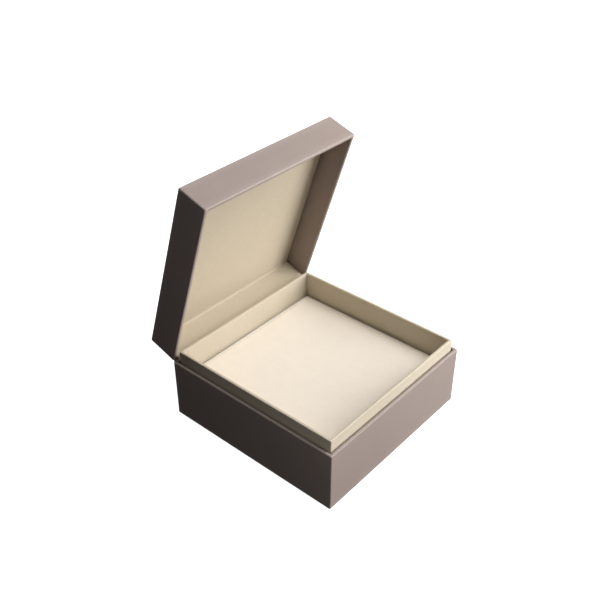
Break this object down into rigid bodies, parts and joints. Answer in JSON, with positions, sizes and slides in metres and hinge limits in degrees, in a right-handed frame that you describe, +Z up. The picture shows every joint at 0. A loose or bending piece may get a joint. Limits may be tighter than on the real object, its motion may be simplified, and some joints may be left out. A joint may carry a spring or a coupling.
{
  "type": "jewelry gift box",
  "caption": "Square rigid gift box in paper-wrapped board with a raised inner neck, a back-hinged lid and a lift-out padded insert for jewelry.",
  "frame": {"origin": "centre of the base's underside, on the surface it rests on", "axes": "+X to the box's right, -Y to its front, +Z up; the lid hinges along the back edge and is stored open"},
  "size_m": [0.1, 0.1159, 0.1335],
  "materials": {
    "taupe_paper": "matte",
    "cream_paper": "matte",
    "beige_paper": "matte",
    "white_card": "matte",
    "greyboard": "matte",
    "gummed_tape": "satin",
    "foam": "matte",
    "ivory_suede": "matte"
  },
  "bodies": {
    "base": {"base_underside_sheet": "taupe_paper", "base_bottom_board": "greyboard", "base_front_board": "greyboard", "base_back_board": "greyboard", "base_left_board": "greyboard", "base_right_board": "greyboard", "base_corner_stays": "gummed_tape", "base_wrap": "taupe_paper", "base_floor_liner": "cream_paper", "neck_front_card": "white_card", "neck_back_card": "white_card", "neck_left_card": "white_card", "neck_right_card": "white_card", "neck_wrap": "cream_paper", "riser_front": "white_card", "riser_back": "white_card", "riser_left": "white_card", "riser_right": "white_card", "hinge_tape_base": "gummed_tape", "hinge_fold": "taupe_paper", "rim_lining": "beige_paper"},
    "lid": {"lid_top_board": "greyboard", "lid_front_board": "greyboard", "lid_back_board": "greyboard", "lid_left_board": "greyboard", "lid_right_board": "greyboard", "lid_corner_stays": "gummed_tape", "lid_wrap": "taupe_paper", "lid_liner_card": "greyboard", "lid_liner_paper": "beige_paper", "lid_back_lining": "beige_paper", "hinge_tape_lid": "gummed_tape"},
    "insert": {"insert_card": "greyboard", "insert_foam": "foam", "insert_cover": "ivory_suede"}
  },
  "joints": [
    {"name": "lid_hinge", "type": "hinge", "parent": "base", "child": "lid", "pos_m": [0, 0.05, 0.0332], "axis": [-1, 0, 0], "range_deg": [-72, 33]},
    {"name": "insert_lift", "type": "slide", "parent": "base", "child": "insert", "axis": [0, 0, 1], "range_m": [0, 0.018]}
  ]
}
